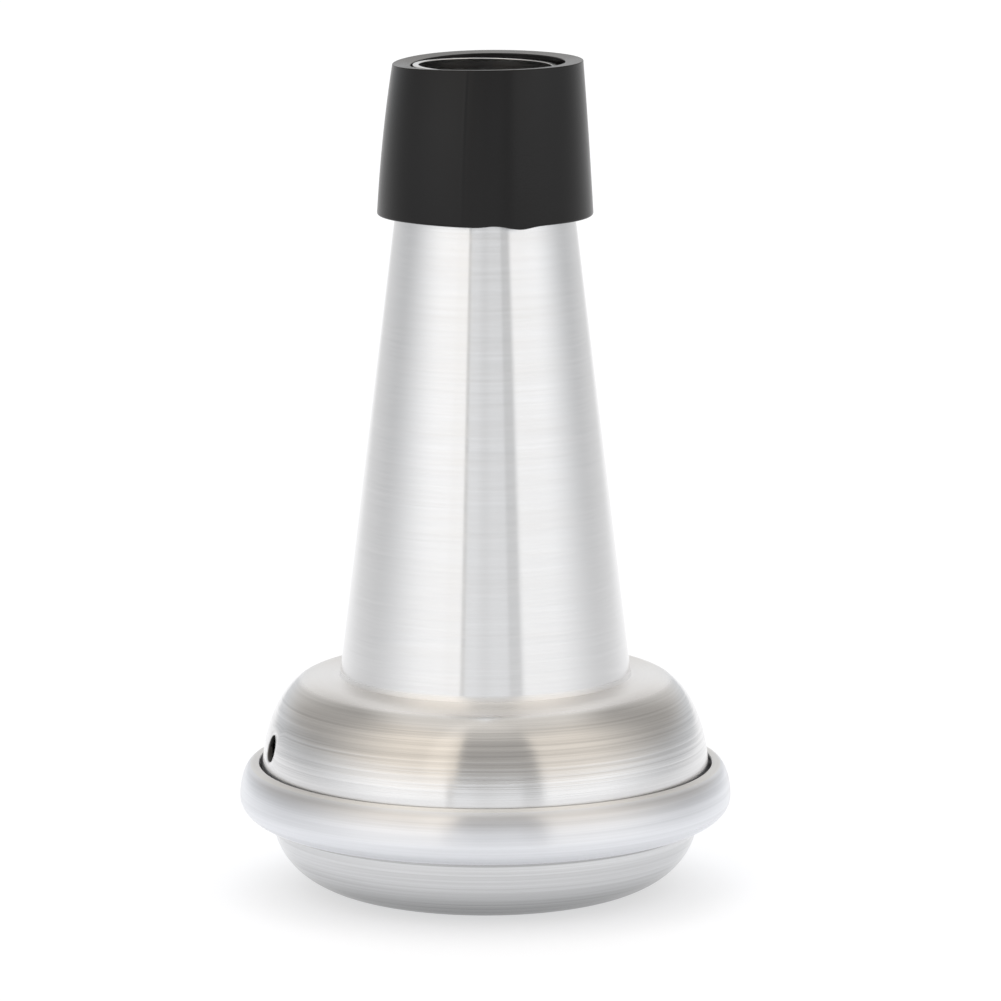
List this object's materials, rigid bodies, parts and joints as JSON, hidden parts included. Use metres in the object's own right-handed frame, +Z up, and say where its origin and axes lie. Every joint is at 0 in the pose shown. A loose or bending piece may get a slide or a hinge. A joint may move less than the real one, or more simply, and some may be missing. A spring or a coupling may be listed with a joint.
{
  "type": "trumpet practice mute",
  "caption": "Compact spun-aluminium practice mute: a hollow cone on a rounded, vented chamber with a rolled rim and flat foot, and a pull-off rubber sleeve that seals in a trumpet's bell.",
  "frame": {"origin": "centre of the flat foot, on the surface that the mute stands on", "axes": "+Z up the mute's axis to the small end with the sleeve, -Y towards the front, +X to the right; the two vent holes lie on one diameter, 14.6 degrees from the X axis"},
  "size_m": [0.065, 0.065, 0.11],
  "materials": {
    "spun_aluminium": "bare, with fine turning lines round the axis",
    "sleeve_rubber": "satin black",
    "seal_rubber": "matte dark grey",
    "felt": "pressed dark grey felt"
  },
  "bodies": {
    "mute_body": {"body_shell": "spun_aluminium", "base_pan": "spun_aluminium", "rim_band": "spun_aluminium", "seam_gasket": "seal_rubber", "damping_pad": "felt"},
    "sleeve": {"bell_sleeve": "sleeve_rubber"}
  },
  "joints": [
    {"name": "sleeve_pull", "type": "slide", "parent": "mute_body", "child": "sleeve", "axis": [0, 0, 1], "range_m": [0, 0.022]}
  ]
}
